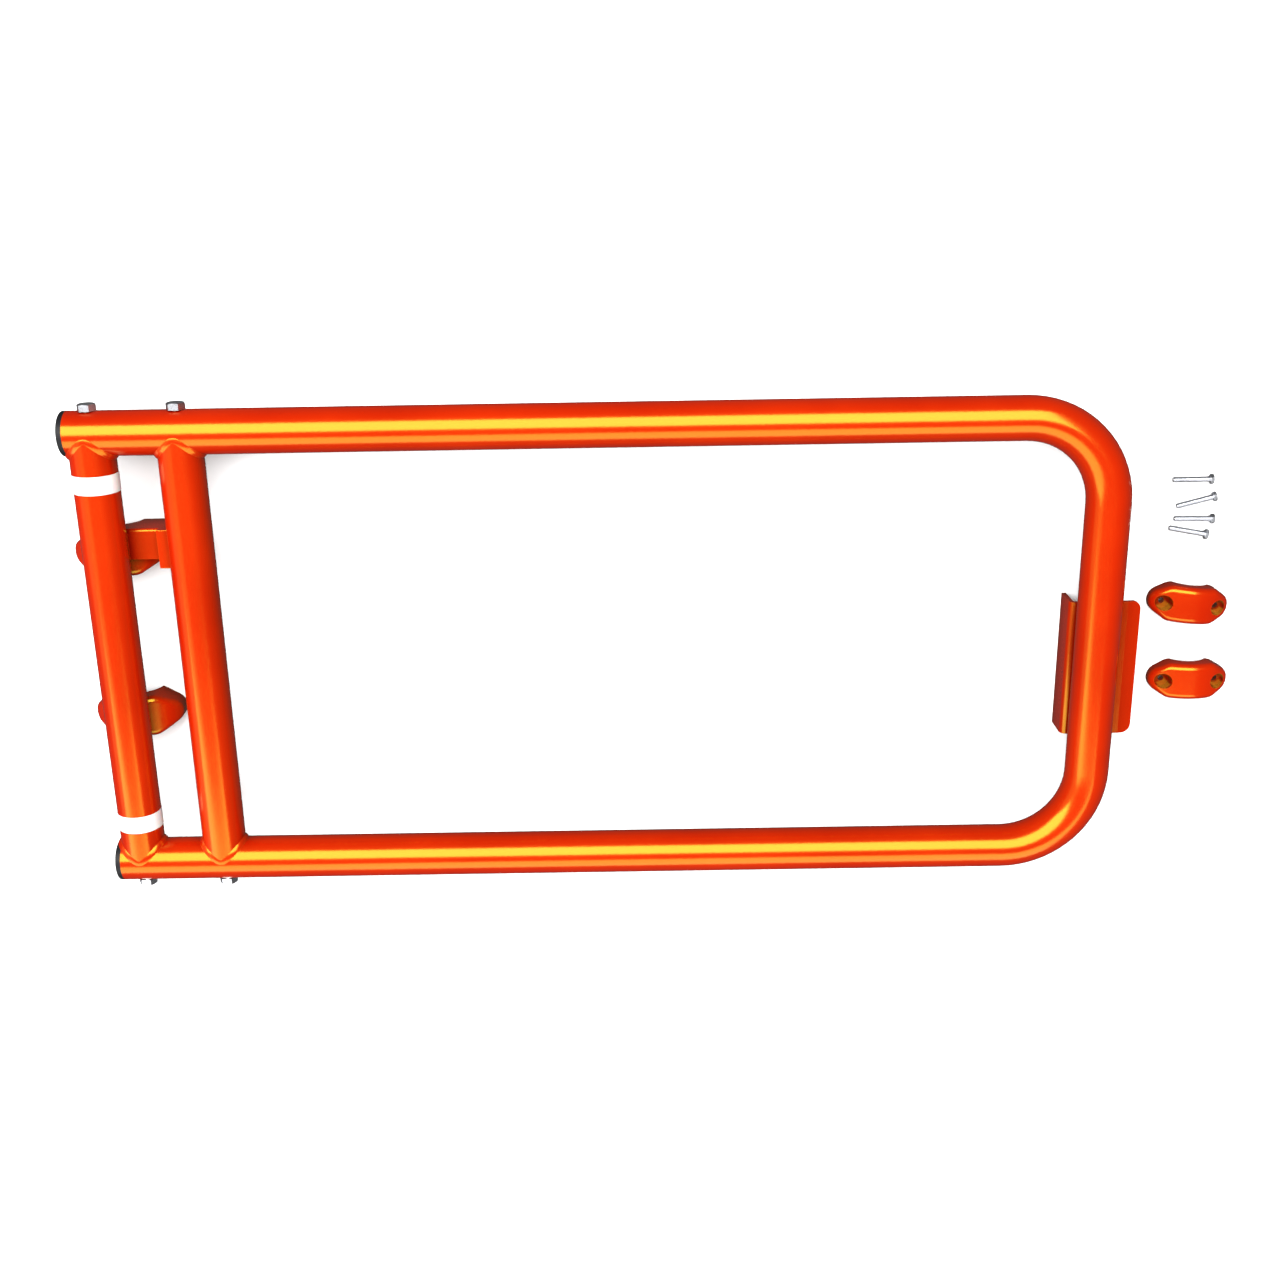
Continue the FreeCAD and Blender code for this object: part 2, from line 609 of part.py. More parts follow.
def along_post(label, diameter, z="0", length="2 * saddle_length"):
    """A cylinder along Y, centred on y = 0, used to cut a trough or clearance."""
    tool = solid("Cylinder", label, Radius=f"({diameter}) / 2", Height=length)
    return place(tool, y=f"({length}) / 2", z=z, turn=FreeCAD.Rotation(X_AXIS, 90))


def bolt_holes(label, diameter, height, foot="0"):
    """Two upright cylinders on the clamp bolt spacing."""
    holes = []
    for name, sign in (("left", -1), ("right", 1)):
        hole = solid("Cylinder", f"{label}_{name}", Radius=f"({diameter}) / 2", Height=height)
        holes.append(place(hole, x=f"{sign} * clamp_bolt_spacing / 2", z=foot))
    return holes


def make_saddles():
    """Domed clamp halves welded to the back of the barrel, tapped for the clamp bolts."""
    for name, _ in SIDES:
        label = f"saddle_{name}"
        block = domed_block(label, "saddle_length", "saddle_width", "saddle_crown", "saddle_ear")
        barrel = along_post(f"{label}_barrel", "tube_od + 2 * weld_gap", "axis_height")
        trough = along_post(f"{label}_trough", "trough_dia")
        tapped = bolt_holes(f"{label}_tap", "clamp_bolt_dia + thread_gap", "saddle_tap_depth + 1", "-1")
        saddle = cut(label, block, barrel, trough, *tapped)
        node(label, place(saddle, y=f"saddle_{name}_y", z="0"))


def make_stop_bracket():
    """Angle beside the upper saddle: its web faces the lug, its flange runs back past the post."""
    body = new_body("stop_bracket_angle")
    profile = new_sketch(body, "YZ_Plane", "stop_profile")
    top = "(saddle_upper_y + saddle_width / 2 + stop_thickness)"
    draw_outline(profile, [
        ("stop_low_y", "stop_face - stop_thickness"),
        (f"{top} - stop_thickness", "stop_face - stop_thickness"),
        (f"{top} - stop_thickness", "stop_lift"),
        (top, "stop_lift"),
        (top, "stop_face"),
        ("stop_low_y", "stop_face"),
    ])
    pad(body, profile, "stop_reach")
    crest = SHEET.saddle_upper_y + SHEET.saddle_width / 2 + SHEET.stop_thickness
    face = SHEET.stop_face
    fillet(body, "stop_bend", lambda edge: (abs(edge.CenterOfMass.y - crest) < 0.01
                                            and abs(edge.CenterOfMass.z - face) < 0.01))
    place(body, z="0")
    barrel = along_post("bracket_barrel", "tube_od + 2 * weld_gap", "axis_height", "barrel_length")
    post = along_post("bracket_post", "post_clearance", "0", "barrel_length")
    radius, axis = dome_formulas("saddle_length", "saddle_crown", "saddle_ear")
    dome = solid("Cylinder", "bracket_dome", Radius=f"{radius} + cope_gap", Height="saddle_width")
    place(dome, y="saddle_upper_y + saddle_width / 2", z=axis, turn=FreeCAD.Rotation(X_AXIS, 90))
    node("stop_bracket", cut("bracket", body, barrel, post, dome))


# ---- loose clamp hardware ----

def make_clamp_caps():
    """Outer clamp halves with counterbored bolt holes, lying trough down beside the leaf."""
    for number, (across, up, heading) in enumerate(CAP_SPOTS, start=1):
        label = f"clamp_cap_{number}"
        block = domed_block(label, "cap_length", "cap_width", "cap_crown", "cap_ear")
        trough = along_post(f"{label}_trough", "trough_dia", "-cap_gap")
        holes = bolt_holes(f"{label}_hole", "clamp_bolt_hole", "cap_crown + 2", "-1")
        pockets = bolt_holes(f"{label}_pocket", "pocket_dia", "cap_crown", "pocket_floor")
        cap = cut(label, block, trough, *holes, *pockets)
        node(label, place(cap, x=across, y=up, z="0", turn=FreeCAD.Rotation(Z_AXIS, heading)))


def make_clamp_bolts():
    """Four M6 bolts lying on the floor, each on a flat of its head and the tip of its shank."""
    drop = (SHEET.clamp_bolt_flats - SHEET.clamp_bolt_dia) / 2
    tip_chamfer = SHEET.clamp_bolt_dia * 0.1
    tilt = math.degrees(math.atan(drop / (SHEET.clamp_bolt_length - tip_chamfer)))
    radius = SHEET.clamp_bolt_dia / 2
    height = radius * math.cos(math.radians(tilt)) - tip_chamfer * math.sin(math.radians(tilt))
    shank_to_x = FreeCAD.Rotation(Y_AXIS, 90 - tilt)
    flat_down = FreeCAD.Rotation(Z_AXIS, 30)
    for number, (across, up, heading) in enumerate(BOLT_SPOTS, start=1):
        label = f"clamp_bolt_{number}"
        bolt = hex_bolt(label, "clamp_bolt_dia", "clamp_bolt_length", "clamp_bolt_flats", "clamp_bolt_head")
        turn = FreeCAD.Rotation(Z_AXIS, heading).multiply(shank_to_x).multiply(flat_down)
        head = turn.multVec(VECTOR(0, 0, SHEET.clamp_bolt_length))
        bolt.Placement = FreeCAD.Placement(VECTOR(across, up, height) + head, turn)
        node(label, bolt)


def check_document():
    """Stop if any object failed or any sub-part has no valid solid."""
    DOC.recompute()
    for thing in DOC.Objects:
        if "Invalid" in thing.State or "Error" in thing.State:
            raise RuntimeError(f"{thing.Label} failed: {thing.State}")
    for name, thing in NODES.items():
        shape = thing.Shape
        if shape.isNull() or not shape.isValid() or not shape.Solids:
            raise RuntimeError(f"{name} has no valid solid")


def main():
    """Build every sub-part, check them and write one STEP file each."""
    make_loop_tube()
    make_stile()
    make_hinge_stubs()
    make_rail_bolts()
    make_end_caps()
    make_stop_lug()
    make_strike_plate()
    make_spindle()
    make_spring_driver()
    make_barrel()
    make_bushings()
    make_torsion_spring()
    make_saddles()
    make_stop_bracket()
    make_clamp_caps()
    make_clamp_bolts()
    check_document()
    os.makedirs("parts", exist_ok=True)
    for name, thing in NODES.items():
        thing.Shape.exportStep(f"parts/{name}.step")
        box = thing.Shape.optimalBoundingBox(False)
        print(f"{name:20s} {thing.Shape.Volume:12.1f} mm3  x {box.XMin:8.2f} {box.XMax:8.2f}"
              f"  y {box.YMin:8.2f} {box.YMax:8.2f}  z {box.ZMin:7.2f} {box.ZMax:7.2f}")


main()
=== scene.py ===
import json
import math

import bmesh
import bpy
from mathutils import Matrix, Vector


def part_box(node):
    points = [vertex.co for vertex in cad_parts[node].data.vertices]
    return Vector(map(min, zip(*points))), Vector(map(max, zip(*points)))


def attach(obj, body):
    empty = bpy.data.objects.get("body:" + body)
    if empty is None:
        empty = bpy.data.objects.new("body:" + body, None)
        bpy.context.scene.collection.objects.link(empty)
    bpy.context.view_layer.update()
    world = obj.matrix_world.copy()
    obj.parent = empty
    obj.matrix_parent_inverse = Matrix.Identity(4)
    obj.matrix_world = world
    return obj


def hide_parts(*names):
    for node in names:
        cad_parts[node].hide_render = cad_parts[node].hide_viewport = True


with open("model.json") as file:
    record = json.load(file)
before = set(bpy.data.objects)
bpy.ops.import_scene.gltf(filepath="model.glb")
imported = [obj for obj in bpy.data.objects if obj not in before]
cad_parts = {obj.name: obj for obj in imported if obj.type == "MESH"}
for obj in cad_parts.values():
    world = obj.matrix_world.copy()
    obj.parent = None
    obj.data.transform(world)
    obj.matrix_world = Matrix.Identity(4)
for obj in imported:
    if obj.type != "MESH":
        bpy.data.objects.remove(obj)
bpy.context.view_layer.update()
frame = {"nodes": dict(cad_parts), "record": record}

# Looks of the gate leaf: everything is in metres, in the CAD model's frame.
# +X hinge to latch, +Y up the hinge axis, +Z out of the leaf, floor at z = 0.

NODES = frame["nodes"]
MM = 0.001


# ---- measures read from the CAD model ----

def middle(node):
    """Centre of a node's box."""
    low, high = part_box(node)
    return (low + high) / 2


def extent(node):
    """Size of a node's box."""
    low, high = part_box(node)
    return high - low


BARREL = middle("barrel_tube")
AXIS_Z = BARREL.z
TUBE_R = extent("barrel_tube").x / 2
RAIL_Y = middle("end_cap_upper").y
STILE_X = middle("stile_tube").x
LATCH_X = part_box("loop_tube")[1].x - TUBE_R


# ---- node materials ----

class Shader:
    """A material with a Principled shader and short ways to add and link nodes."""

    def __init__(self, name):
        self.material = bpy.data.materials.new(name)
        self.material.use_nodes = True
        self.tree = self.material.node_tree
        self.principled = self.tree.nodes["Principled BSDF"]
        self.place = self.add("ShaderNodeTexCoord").outputs["Object"]

    def add(self, kind, **settings):
        """A new node with the given properties."""
        made = self.tree.nodes.new(kind)
        for key, value in settings.items():
            setattr(made, key, value)
        return made

    def link(self, source, target):
        """Join an output to an input."""
        self.tree.links.new(source, target)

    def set(self, **values):
        """Plain values on the Principled shader's own sockets."""
        for key, value in values.items():
            self.principled.inputs[key.replace("_", " ")].default_value = value

    def noise(self, scale, detail=2.0, rough=0.5):
        """Noise in object space; scale is in cycles per metre."""
        made = self.add("ShaderNodeTexNoise")
        made.inputs["Scale"].default_value = scale
        made.inputs["Detail"].default_value = detail
        made.inputs["Roughness"].default_value = rough
        self.link(self.place, made.inputs["Vector"])
        return made.outputs["Fac"]

    def ramp(self, source, low, high, from_low=0.3, from_high=0.7):
        """Spread a 0 to 1 value over a wanted range."""
        made = self.add("ShaderNodeMapRange")
        made.inputs["From Min"].default_value = from_low
        made.inputs["From Max"].default_value = from_high
        made.inputs["To Min"].default_value = low
        made.inputs["To Max"].default_value = high
        self.link(source, made.inputs["Value"])
        return made.outputs["Result"]

    def blend(self, factor, first, second):
        """Mix two colours, each a tuple or an output."""
        made = self.add("ShaderNodeMix", data_type="RGBA")
        self.link(factor, made.inputs[0])
        for socket, colour in ((made.inputs[6], first), (made.inputs[7], second)):
            if isinstance(colour, tuple):
                socket.default_value = (*colour, 1.0)
            else:
                self.link(colour, socket)
        return made.outputs[2]

    def bump(self, height, distance, strength=1.0, under=None):
        """Bump from a height output, stacked on another bump if given."""
        made = self.add("ShaderNodeBump")
        made.inputs["Distance"].default_value = distance
        made.inputs["Strength"].default_value = strength
        self.link(height, made.inputs["Height"])
        if under is not None:
            self.link(under, made.inputs["Normal"])
        return made.outputs["Normal"]


def edge_mask(shader, radius, low, high):
    """1 on sharp edges and 0 on open surfaces, from a rounded normal."""
    rounded = shader.add("ShaderNodeBevel", samples=4)
    rounded.inputs["Radius"].default_value = radius
    plain = shader.add("ShaderNodeNewGeometry").outputs["Normal"]
    dot = shader.add("ShaderNodeVectorMath", operation="DOT_PRODUCT")
    shader.link(rounded.outputs["Normal"], dot.inputs[0])
    shader.link(plain, dot.inputs[1])
    return shader.ramp(dot.outputs["Value"], 1.0, 0.0, low, high)


POWDER_RED = (0.35, 0.0064, 0.0005)
POWDER_ORANGE = (0.40, 0.0106, 0.0007)
POWDER_THIN = (0.46, 0.030, 0.002)
# Deep red painted where ambient occlusion finds pockets and tight corners: painted shade.
POWDER_PAINTED_SHADE = (0.16, 0.0006, 0.0002)
POWDER_GLOSS = (1.0, 0.72, 0.065)


def openness(shader, distance, low, high):
    """Ambient occlusion ramp used for painted shade: 0 in pockets and tight corners and 1 on open surfaces.
    """
    shade = shader.add("ShaderNodeAmbientOcclusion", samples=8)
    shade.inputs["Distance"].default_value = distance
    return shader.ramp(shade.outputs["AO"], 0.0, 1.0, low, high)


def powder_coat():
    """Glossy orange powder coat: faint colour drift, orange peel, thin on edges, painted shade in pockets
    and tight corners.
    """
    shader = Shader("orange_powder_coat")
    drift = shader.ramp(shader.noise(9.0, 3.0), 0.0, 1.0, 0.35, 0.65)
    colour = shader.blend(drift, POWDER_RED, POWDER_ORANGE)
    edges = edge_mask(shader, 1.2 * MM, 0.90, 0.995)
    colour = shader.blend(edges, colour, POWDER_THIN)
    # Painted shade: the colour darkens towards the deep red wherever ambient occlusion finds a pocket or
    # tight corner.
    shade_free = openness(shader, 30.0 * MM, 0.45, 0.95)
    colour = shader.blend(shade_free, POWDER_PAINTED_SHADE, colour)
    shader.link(colour, shader.principled.inputs["Base Color"])
    grain = shader.noise(620.0, 3.0, 0.6)
    shader.link(shader.ramp(grain, 0.17, 0.23), shader.principled.inputs["Roughness"])
    peel = shader.bump(shader.noise(330.0, 1.0), 0.03 * MM, 0.5)
    fine = shader.bump(grain, 0.01 * MM, 0.4, under=peel)
    shader.link(fine, shader.principled.inputs["Normal"])
    shader.set(IOR=1.65, Specular_IOR_Level=1.0, Specular_Tint=(*POWDER_GLOSS, 1.0))
    return shader.material


def black_plastic():
    """Moulded black polyethylene with a fine spark-eroded grain."""
    shader = Shader("black_end_cap_plastic")
    grain = shader.noise(1400.0, 2.0)
    colour = shader.blend(shader.noise(40.0), (0.004, 0.004, 0.005), (0.009, 0.009, 0.010))
    shader.link(colour, shader.principled.inputs["Base Color"])
    shader.link(shader.ramp(grain, 0.42, 0.58), shader.principled.inputs["Roughness"])
    shader.link(shader.bump(grain, 0.04 * MM, 0.6), shader.principled.inputs["Normal"])
    shader.set(Specular_IOR_Level=0.2)
    return shader.material


def white_nylon():
    """Natural nylon, turned: soft, slightly translucent, with faint tool rings."""
    shader = Shader("white_nylon")
    colour = shader.blend(shader.noise(60.0, 3.0), (0.70, 0.68, 0.67), (0.79, 0.77, 0.76))
    shader.link(colour, shader.principled.inputs["Base Color"])
    rings = shader.add("ShaderNodeTexWave", wave_type="BANDS", bands_direction="Y")
    rings.inputs["Scale"].default_value = 520.0
    rings.inputs["Distortion"].default_value = 0.4
    shader.link(shader.place, rings.inputs["Vector"])
    shader.link(shader.ramp(shader.noise(300.0), 0.36, 0.48), shader.principled.inputs["Roughness"])
    shader.link(shader.bump(rings.outputs["Fac"], 0.02 * MM, 0.5), shader.principled.inputs["Normal"])
    shader.set(Subsurface_Weight=0.25, Subsurface_Scale=2.0 * MM)
    return shader.material


def plated_steel(name, light, dark, rough_low, rough_high, scale):
    """Metal with cloudy tone, fine scratches and a given range of roughness."""
    shader = Shader(name)
    colour = shader.blend(shader.noise(scale, 4.0), dark, light)
    shader.link(colour, shader.principled.inputs["Base Color"])
    grain = shader.noise(1800.0, 3.0, 0.6)
    shader.link(shader.ramp(grain, rough_low, rough_high), shader.principled.inputs["Roughness"])
    shader.link(shader.bump(grain, 0.015 * MM, 0.5), shader.principled.inputs["Normal"])
    shader.set(Metallic=1.0)
    return shader.material


MATERIALS = {
    "powder_orange": powder_coat(),
    "cap_black": black_plastic(),
    "nylon_white": white_nylon(),
    "zinc_plate": plated_steel("zinc_plate", (0.88, 0.89, 0.92), (0.60, 0.62, 0.67), 0.20, 0.36, 160.0),
    "spring_steel": plated_steel("oiled_spring", (0.16, 0.16, 0.17), (0.08, 0.08, 0.085), 0.28, 0.42, 90.0),
    "bare_steel": plated_steel("turned_steel", (0.56, 0.55, 0.54), (0.40, 0.39, 0.38), 0.22, 0.38, 120.0),
}
SLOT_OF = {entry["node"]: entry["material_slot"] for entry in frame["record"]["subparts"]}


def dress_cad_nodes():
    """Give every CAD node its material."""
    for name, piece in NODES.items():
        piece.data.materials.clear()
        piece.data.materials.append(MATERIALS[SLOT_OF[name]])


WELD_REACH = 0.002 * MM
BEVEL_SEGMENTS = 3
BEVEL_ANGLE = 35


def soften(node, width):
    """Round a CAD node's sharp edges with modifiers, leaving its mesh alone."""
    piece = NODES[node]
    weld = piece.modifiers.new("weld", "WELD")
    weld.merge_threshold = WELD_REACH
    bevel = piece.modifiers.new("bevel", "BEVEL")
    bevel.width = width
    bevel.segments = BEVEL_SEGMENTS
    bevel.limit_method = "ANGLE"
    bevel.angle_limit = math.radians(BEVEL_ANGLE)
    bevel.harden_normals = False
    bevel.use_clamp_overlap = True


# ---- new pieces ----

SMOOTH_ANGLE = 40


def new_piece(name, mesh, body, slot):
    """Link a finished bmesh as a smooth-shaded piece that rides on a body."""
    data = bpy.data.meshes.new(name)
    bmesh.ops.recalc_face_normals(mesh, faces=mesh.faces[:])
    mesh.to_mesh(data)
    mesh.free()
    for face in data.polygons:
        face.use_smooth = True
    data.set_sharp_from_angle(angle=math.radians(SMOOTH_ANGLE))
    piece = bpy.data.objects.new(name, data)
    bpy.context.scene.collection.objects.link(piece)
    data.materials.append(MATERIALS[slot])
    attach(piece, body)
    return piece


RIPPLE_PITCH = 2.4 * MM
RIPPLE_HEIGHT = 0.03
BEAD_SIDES = 12


def weld_bead(name, body, points, radius, closed=True):
    """A run of weld through the points: a tube that swells a little with each ripple."""
    count = len(points)
    mesh = bmesh.new()
    rings = []
    travelled = 0.0
    side = None
    for index, point in enumerate(points):
        before = points[index - 1] if closed or index > 0 else point
        after = points[(index + 1) % count] if closed or index < count - 1 else point
        along = (after - before).normalized()
        if side is None:
            side = along.orthogonal().normalized()
        else:
            travelled += (point - points[index - 1]).length
            side = (side - along * side.dot(along)).normalized()
        up = along.cross(side)
        swollen = radius * (1.0 + RIPPLE_HEIGHT * math.sin(2 * math.pi * travelled / RIPPLE_PITCH))
        circle = []
        for step in range(BEAD_SIDES):
            angle = 2 * math.pi * step / BEAD_SIDES
            offset = (side * math.cos(angle) + up * math.sin(angle)) * swollen
            circle.append(mesh.verts.new(point + offset))
        rings.append(circle)
    if closed:
        close_rings(mesh, rings)
    else:
        skin(mesh, rings)
    new_piece(name, mesh, body, "powder_orange")


def close_rings(mesh, rings):
    """Faces between following rings and from the last ring back to the nearest turn of the first."""
    last, first = rings[-1], rings[0]
    shift = min(range(BEAD_SIDES), key=lambda step: (first[step].co - last[0].co).length)
    joined = rings + [first[shift:] + first[:shift]]
    for near, far in zip(joined, joined[1:]):
        for step in range(BEAD_SIDES):
            after = (step + 1) % BEAD_SIDES
            mesh.faces.new((near[step], near[after], far[after], far[step]))


FILLET_LEG = 3.6 * MM
FILLET_BULGE = 0.25 * MM
FILLET_SINK = 0.15 * MM
FILLET_STEPS = 6
FILLET_COUNT = 160
SEAM_ROUNDING = 0.2
SEAM_STEP = 0.01


def seam_point(across, side, angle):
    """Point where an upright of the tube's radius meets a rail, rounded where the two run flush."""
    drop = TUBE_R * math.hypot(math.cos(angle), SEAM_ROUNDING)
    x = across + TUBE_R * math.cos(angle)
    z = AXIS_Z + TUBE_R * math.sin(angle)
    return Vector((x, side * (RAIL_Y - drop), z))


def off_axis(point, centre, axis):
    """Offset of a point, square to a tube's axis, which runs along x or y through the centre."""
    offset = point - centre
    setattr(offset, axis, 0.0)
    return offset


def onto_tube(point, centre, axis):
    """The point moved square to a tube's axis to just under the tube's surface."""
    offset = off_axis(point, centre, axis)
    return point - offset + offset.normalized() * (TUBE_R - FILLET_SINK)


def fillet_section(across, side, angle):
    """Closed loop of points round the weld's section at an angle round the upright."""
    point = seam_point(across, side, angle)
    ahead = seam_point(across, side, angle + SEAM_STEP)
    behind = seam_point(across, side, angle - SEAM_STEP)
    along = (ahead - behind).normalized()
    rail = Vector((0, side * RAIL_Y, AXIS_Z))
    upright = Vector((across, 0, AXIS_Z))
    rail_out = off_axis(point, rail, "x").normalized()
    upright_out = off_axis(point, upright, "y").normalized()
    towards_rail = along.cross(rail_out)
    towards_upright = along.cross(upright_out)
    if towards_upright.y * side > 0:
        towards_upright.negate()
    else:
        towards_rail.negate()
    rail_foot = onto_tube(point + towards_rail.normalized() * FILLET_LEG, rail, "x")
    upright_foot = onto_tube(point + towards_upright.normalized() * FILLET_LEG, upright, "y")
    out = (rail_out + upright_out).normalized()
    loop = [point - out * 3 * FILLET_BULGE]
    for step in range(FILLET_STEPS + 1):
        part = step / FILLET_STEPS
        bulge = out * (FILLET_BULGE + FILLET_SINK) * 4 * part * (1 - part)
        loop.append(rail_foot.lerp(upright_foot, part) + bulge)
    return loop


def cope_weld(name, across, side):
    """Smooth fillet weld all round where an upright meets a rail."""
    mesh = bmesh.new()
    loops = []
    for index in range(FILLET_COUNT):
        section = fillet_section(across, side, 2 * math.pi * (index + 0.5) / FILLET_COUNT)
        loops.append([mesh.verts.new(point) for point in section])
    for index, near in enumerate(loops):
        far = loops[(index + 1) % FILLET_COUNT]
        for step in range(len(near)):
            after = (step + 1) % len(near)
            mesh.faces.new((near[step], near[after], far[after], far[step]))
    new_piece(name, mesh, "gate_leaf", "powder_orange")


SADDLE_BEAD = 2.6 * MM
SADDLE_BEAD_INSET = 3.0 * MM
SADDLE_SQUARENESS = 0.28
SADDLE_STEPS = 200


def saddle_weld(node):
    """Rounded rectangle of weld on the barrel's back where a saddle's dome meets it."""
    low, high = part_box(node)
    centre = (low + high) / 2
    half_x = math.sqrt(TUBE_R ** 2 - (AXIS_Z - high.z) ** 2)
    half_y = (high.y - low.y) / 2 - SADDLE_BEAD_INSET
    points = []
    for index in range(SADDLE_STEPS):
        angle = 2 * math.pi * index / SADDLE_STEPS
        cos, sin = math.cos(angle), math.sin(angle)
        x = half_x * math.copysign(abs(cos) ** SADDLE_SQUARENESS, cos)
        y = half_y * math.copysign(abs(sin) ** SADDLE_SQUARENESS, sin)
        z = AXIS_Z - math.sqrt(TUBE_R ** 2 - x ** 2)
        points.append(Vector((centre.x + x, centre.y + y, z)))
    weld_bead(f"weld_{node}", "hinge_barrel", points, SADDLE_BEAD)


STRAIGHT_STEPS = 120


def straight_weld(name, body, start, end, radius):
    """Straight run of weld between two points."""
    points = [start.lerp(end, step / STRAIGHT_STEPS) for step in range(STRAIGHT_STEPS + 1)]
    weld_bead(name, body, points, radius, closed=False)


STRIKE_BEAD = 1.6 * MM
STRIKE_WELD_REACH = 5.5 * MM
STRIKE_WELD_INSET = 4.0 * MM
LUG_BEAD = 1.5 * MM
LUG_STEPS = 30
BRACKET_BEAD = 1.8 * MM
BRACKET_WELD_OUT = 0.4 * MM
BRACKET_WELD_INSET = 4.0 * MM


def strike_welds():
    """Two runs between the strike plate's flat and the latch upright."""
    low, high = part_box("strike_plate")
    tube = high.z + TUBE_R - math.sqrt(TUBE_R ** 2 - STRIKE_WELD_REACH ** 2)
    z = (high.z + tube) / 2
    for label, side in (("left", -1), ("right", 1)):
        x = LATCH_X + side * STRIKE_WELD_REACH
        start = Vector((x, low.y + STRIKE_WELD_INSET, z))
        end = Vector((x, high.y - STRIKE_WELD_INSET, z))
        straight_weld(f"weld_strike_{label}", "gate_leaf", start, end, STRIKE_BEAD)


def lug_welds():
    """A run along each side of the stop lug, round the stile."""
    low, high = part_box("stop_lug")
    for label, y in (("upper", high.y), ("lower", low.y)):
        points = []
        for step in range(LUG_STEPS + 1):
            z = low.z + (high.z - low.z) * step / LUG_STEPS
            points.append(Vector((STILE_X - math.sqrt(TUBE_R ** 2 - (AXIS_Z - z) ** 2), y, z)))
        weld_bead(f"weld_lug_{label}", "gate_leaf", points, LUG_BEAD, closed=False)


def bracket_weld():
    """A run along the edge of the stop bracket on the barrel's side."""
    low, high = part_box("stop_bracket")
    x = BARREL.x + math.sqrt(TUBE_R ** 2 - (AXIS_Z - high.z) ** 2) + BRACKET_WELD_OUT
    start = Vector((x, low.y, high.z))
    end = Vector((x, high.y - BRACKET_WELD_INSET, high.z))
    straight_weld("weld_bracket", "hinge_barrel", start, end, BRACKET_BEAD)


def make_welds():
    """Weld beads at every welded joint of the leaf and of the hinge side."""
    for label, side in (("upper", 1), ("lower", -1)):
        cope_weld(f"weld_stile_{label}", STILE_X, side)
        cope_weld(f"weld_stub_{label}", BARREL.x, side)
    for node in ("saddle_upper", "saddle_lower"):
        saddle_weld(node)
    strike_welds()
    lug_welds()
    bracket_weld()


def ring(mesh, radii, z):
    """One ring of vertices; radii gives the radius at each even step of angle."""
    count = len(radii)
    made = []
    for index, radius in enumerate(radii):
        angle = 2 * math.pi * index / count
        made.append(mesh.verts.new((radius * math.cos(angle), radius * math.sin(angle), z)))
    return made


def skin(mesh, rings):
    """Faces between following rings and a flat face over each end."""
    count = len(rings[0])
    for first, second in zip(rings, rings[1:]):
        for index in range(count):
            after = (index + 1) % count
            mesh.faces.new((first[index], first[after], second[after], second[index]))
    mesh.faces.new(rings[0][::-1])
    mesh.faces.new(rings[-1])


HEAD_STEPS = 72
CHAMFER_STEPS = 6
CHAMFER_ANGLE = 30
WASHER_FACE = 0.93
WASHER_RIM = 0.95
WASHER_HEIGHT = 0.05
FLATS_START = 0.07
TOP_CIRCLE = 0.95
DISH_RIM = 0.93
DISH_FLOOR = 0.80
DISH_LEVEL = 0.96


def hexagon(flats):
    """Radii of a hexagon at even steps of angle."""
    radii = []
    for index in range(HEAD_STEPS):
        angle = 2 * math.pi * index / HEAD_STEPS
        turn = (angle + math.pi / 6) % (math.pi / 3) - math.pi / 6
        radii.append(flats / 2 / math.cos(turn))
    return radii


def hex_head(mesh, flats, height):
    """Hexagon head with a washer face, a 30 degree chamfer and a shallow dish on top."""
    six = hexagon(flats)
    round_top = TOP_CIRCLE * flats / 2
    slope = math.tan(math.radians(CHAMFER_ANGLE))
    start = height - (max(six) - round_top) * slope
    rings = [ring(mesh, [WASHER_FACE * flats / 2] * HEAD_STEPS, 0.0)]
    rings.append(ring(mesh, [WASHER_RIM * flats / 2] * HEAD_STEPS, WASHER_HEIGHT * height))
    rings.append(ring(mesh, six, FLATS_START * height))
    for step in range(CHAMFER_STEPS + 1):
        z = start + (height - start) * step / CHAMFER_STEPS
        limit = round_top + (height - z) / slope
        rings.append(ring(mesh, [min(radius, limit) for radius in six], z))
    rings.append(ring(mesh, [DISH_RIM * round_top] * HEAD_STEPS, height))
    rings.append(ring(mesh, [DISH_FLOOR * round_top] * HEAD_STEPS, DISH_LEVEL * height))
    skin(mesh, rings)


SHANK_STEPS = 24
TURN_ROWS = 8
THREAD_DEPTH = 0.6
CREST_WIDTH = 1.35
SHANK_UNDERSIZE = 0.985
SHANK_ROOT = 0.9
SHANK_INTO_HEAD = 0.3


def threaded_shank(mesh, radius, pitch, length):
    """Shank from inside the head down to -length, with a rolled thread and a tapered tip."""
    depth = THREAD_DEPTH * pitch
    core = radius - depth
    rows = int(length / pitch * TURN_ROWS)
    rings = [ring(mesh, [SHANK_ROOT * radius] * SHANK_STEPS, SHANK_INTO_HEAD * pitch)]
    for row in range(rows + 1):
        fade = min(1.0, (rows - row) / TURN_ROWS)
        radii = []
        for index in range(SHANK_STEPS):
            phase = (row / TURN_ROWS + index / SHANK_STEPS) % 1.0
            crest = min(1.0, CREST_WIDTH * abs(2 * phase - 1))
            radii.append(min(core + depth * crest, radius - depth * (1 - fade)))
        rings.append(ring(mesh, radii, -length * row / rows))
    skin(mesh, rings)


BOLT_FLATS = 10.0 * MM
BOLT_HEAD = 4.0 * MM
BOLT_RADIUS = 3.0 * MM
BOLT_LENGTH = 40.0 * MM
BOLT_PITCH = 1.0 * MM
BOLT_LIES = {
    "clamp_bolt_1": (1.1671, 0.1654, 1.0),
    "clamp_bolt_2": (1.1740, 0.1352, 15.4),
    "clamp_bolt_3": (1.1724, 0.1212, -0.2),
    "clamp_bolt_4": (1.1678, 0.1108, -10.3),
}


